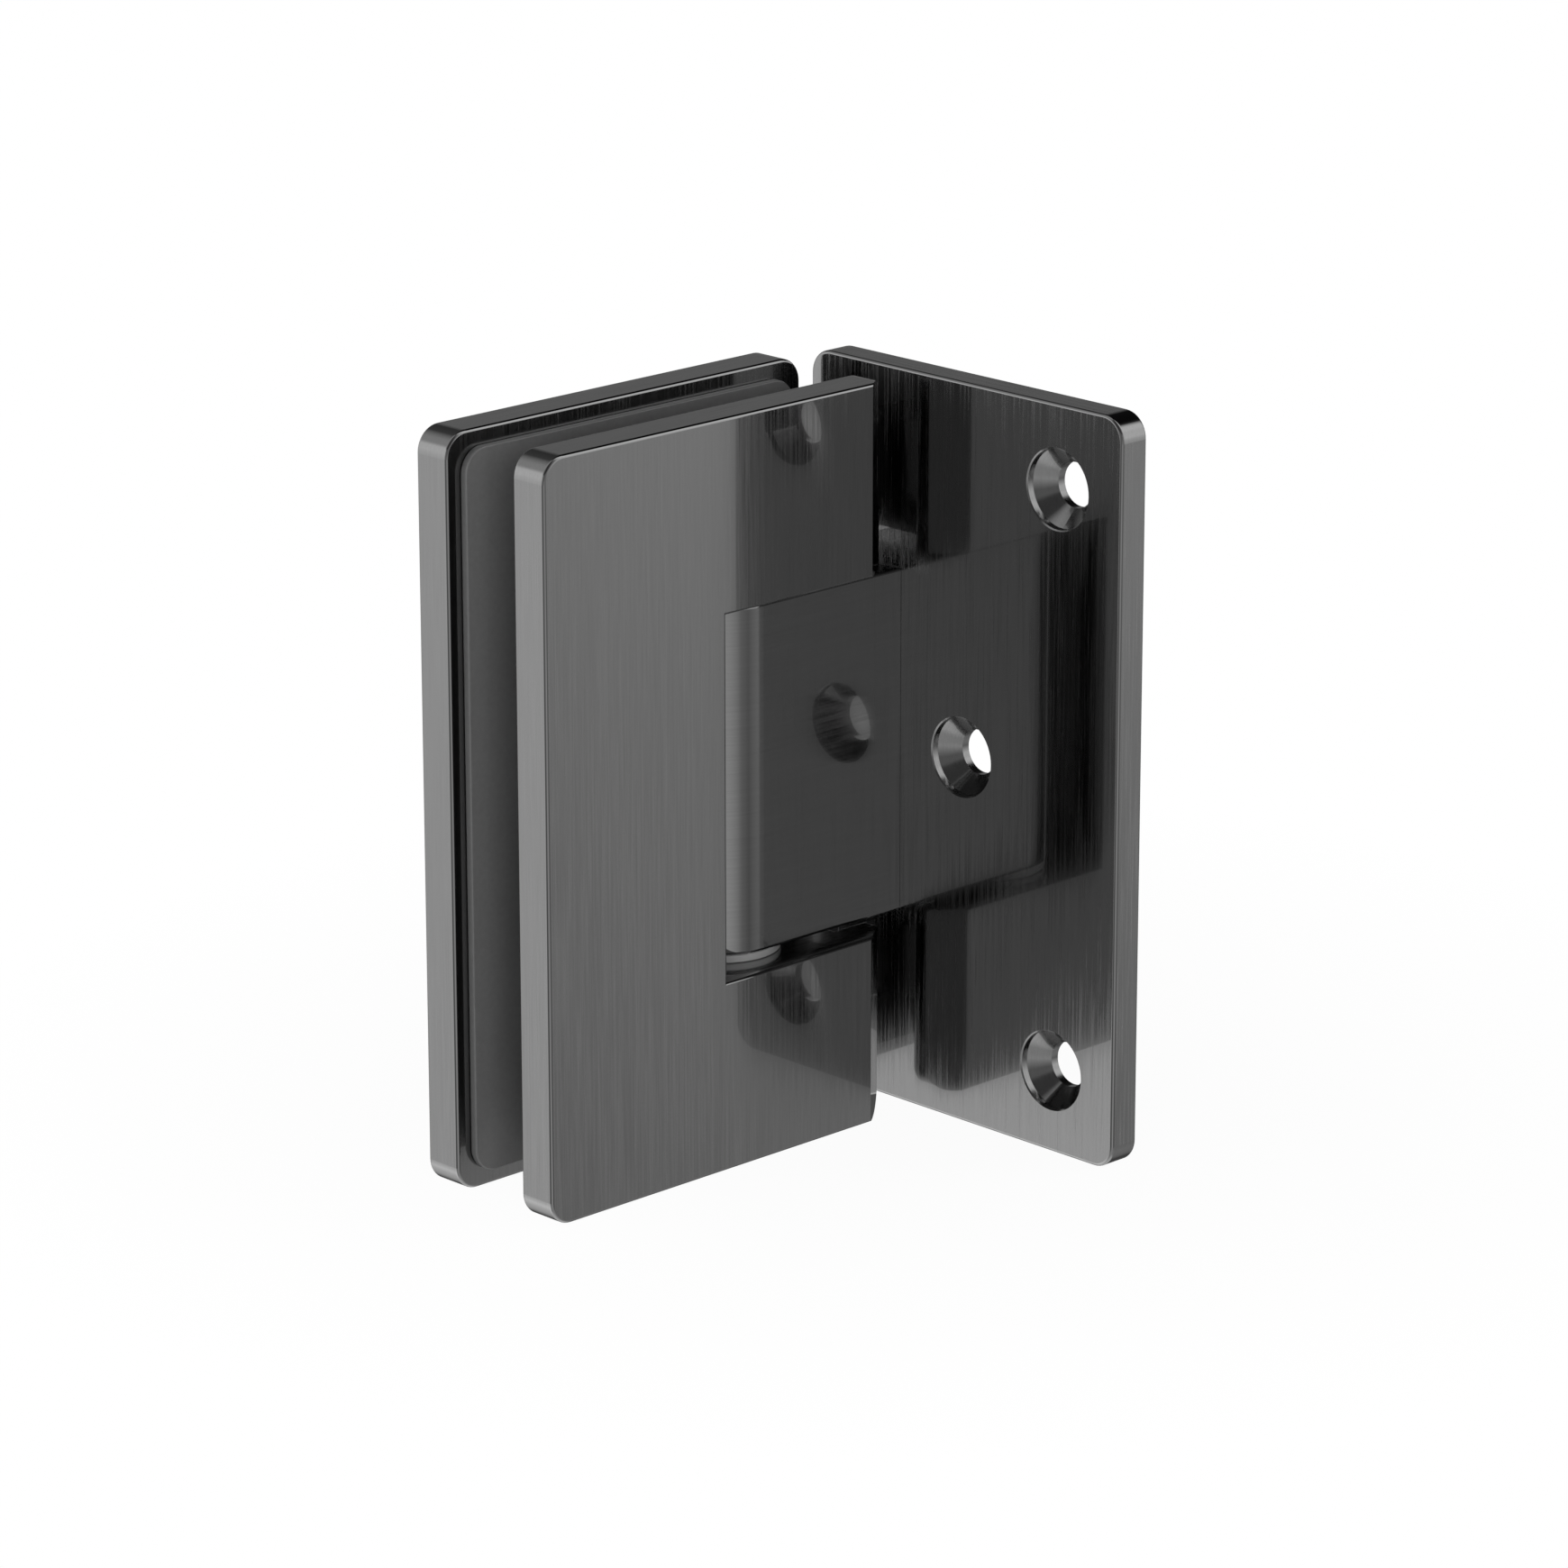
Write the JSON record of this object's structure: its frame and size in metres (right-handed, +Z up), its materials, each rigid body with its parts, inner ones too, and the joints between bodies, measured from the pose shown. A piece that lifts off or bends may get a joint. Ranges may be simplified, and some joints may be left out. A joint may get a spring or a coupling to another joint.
{
  "type": "glass door hinge",
  "caption": "Wall-to-glass door hinge: an offset wall plate with countersunk holes, a half-round pivot block and a two-plate glass clamp with gaskets.",
  "frame": {"origin": "on the wall plate's back face, in line with the pivot pin and at mid height", "axes": "+X into the wall, square to the wall plate; +Z up, along the pivot pin; +Y along the wall, away from the wall plate's long side"},
  "size_m": [0.0632, 0.0528, 0.09],
  "materials": {
    "gunmetal": "dark gunmetal coating over hairline brushed stainless steel",
    "screw_steel": "darkened stainless steel",
    "washer_nylon": "plain mid grey nylon",
    "pin_steel": "ground stainless steel",
    "bush_plastic": "plain natural-coloured acetal",
    "gasket_rubber": "smooth dark grey sheet"
  },
  "bodies": {
    "wall_side": {"wall_plate": "gunmetal", "pivot_block": "gunmetal", "block_screw_upper": "screw_steel", "block_screw_lower": "screw_steel", "bush_upper": "bush_plastic", "bush_lower": "bush_plastic", "plunger_spring_upper": "pin_steel", "plunger_spring_lower": "pin_steel"},
    "door_clamp": {"front_clamp_plate": "gunmetal", "back_clamp_plate": "gunmetal", "front_gasket": "gasket_rubber", "back_gasket": "gasket_rubber", "pivot_pin": "pin_steel", "thrust_washer_upper": "washer_nylon", "thrust_washer_lower": "washer_nylon", "pin_set_screw_upper": "screw_steel", "pin_set_screw_lower": "screw_steel", "clamp_screw_1": "screw_steel", "clamp_screw_2": "screw_steel", "clamp_screw_3": "screw_steel", "clamp_screw_4": "screw_steel"},
    "upper_plunger": {"plunger_upper": "pin_steel"},
    "lower_plunger": {"plunger_lower": "pin_steel"}
  },
  "joints": [
    {"name": "door_swing", "type": "hinge", "parent": "wall_side", "child": "door_clamp", "pos_m": [-0.0265, 0, 0], "axis": [0, 0, 1], "range_deg": [-90, 90]},
    {"name": "upper_plunger_travel", "type": "slide", "parent": "wall_side", "child": "upper_plunger", "axis": [-1, 0, 0], "range_m": [0, 0.0008]},
    {"name": "lower_plunger_travel", "type": "slide", "parent": "wall_side", "child": "lower_plunger", "axis": [-1, 0, 0], "range_m": [0, 0.0008]}
  ]
}
